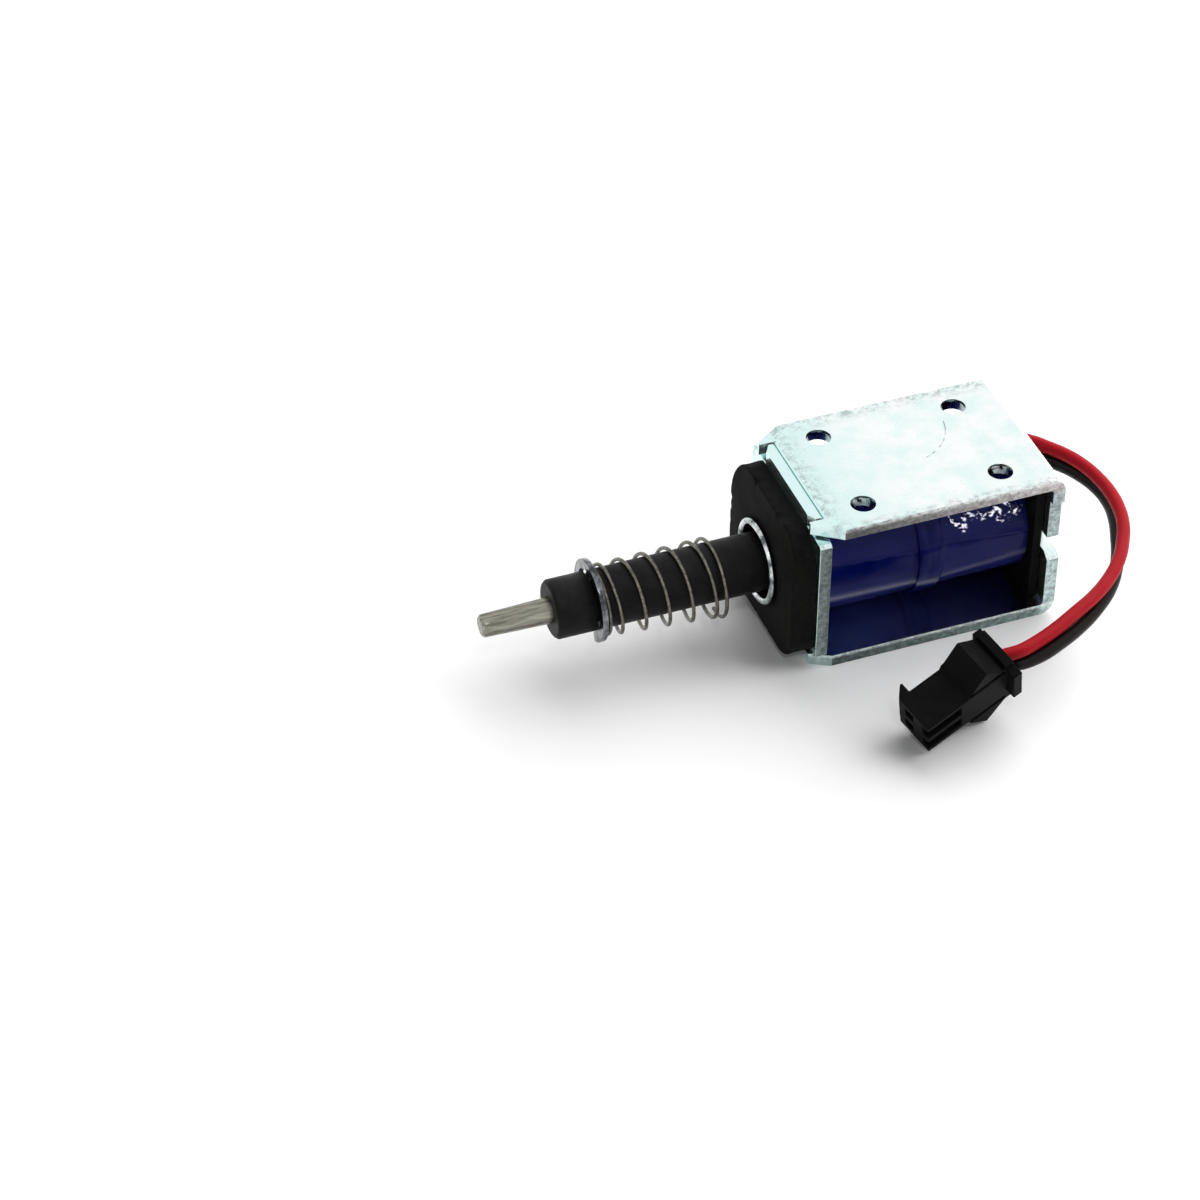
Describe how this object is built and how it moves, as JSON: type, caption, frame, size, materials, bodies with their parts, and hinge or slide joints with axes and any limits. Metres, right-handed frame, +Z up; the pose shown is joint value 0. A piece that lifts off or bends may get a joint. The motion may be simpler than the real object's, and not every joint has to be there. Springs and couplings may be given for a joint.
{
  "type": "open-frame push solenoid",
  "caption": "Small open-frame linear electromagnet: a bent steel frame round a taped coil, a sprung plunger with a tapered push pin, and a short lead with a plug",
  "frame": {"origin": "middle of the frame's underside, halfway between the back face and the front plate's face", "axes": "+X along the plunger towards the push pin, +Y to the open side that the lead comes round to, +Z up out of the top plate"},
  "size_m": [0.0777, 0.0414, 0.02],
  "materials": {
    "zinc_plated_steel": "zinc plated, satin",
    "black_rubber": "matte, cut edges",
    "nickel_plated_brass": "bright plated",
    "black_nylon": "matte moulded",
    "enamelled_copper": "enamelled wire",
    "blue_polyester_tape": "glossy film",
    "tinned_metal": "tin plated",
    "bare_steel": "turned, oiled",
    "blackened_steel": "satin black",
    "spring_steel": "drawn, plain",
    "red_pvc": "satin",
    "black_pvc": "satin"
  },
  "bodies": {
    "frame": {"c_frame": "zinc_plated_steel", "front_plate": "zinc_plated_steel", "rubber_bumper": "black_rubber", "guide_eyelet": "nickel_plated_brass", "bobbin": "black_nylon", "winding": "enamelled_copper", "front_tape": "blue_polyester_tape", "rear_tape": "blue_polyester_tape", "lead_wrap": "blue_polyester_tape", "red_splice": "tinned_metal", "black_splice": "tinned_metal", "fixed_core": "bare_steel", "red_wire": "red_pvc", "black_wire": "black_pvc", "connector_housing": "black_nylon", "red_contact": "tinned_metal", "black_contact": "tinned_metal"},
    "plunger": {"plunger": "blackened_steel", "push_pin": "bare_steel", "e_clip": "spring_steel", "return_spring": "spring_steel"}
  },
  "joints": [
    {"name": "plunger_slide", "type": "slide", "parent": "frame", "child": "plunger", "axis": [1, 0, 0], "range_m": [-0.01, 0], "stiffness_N_per_m": 200, "deforming": ["return_spring"]}
  ]
}
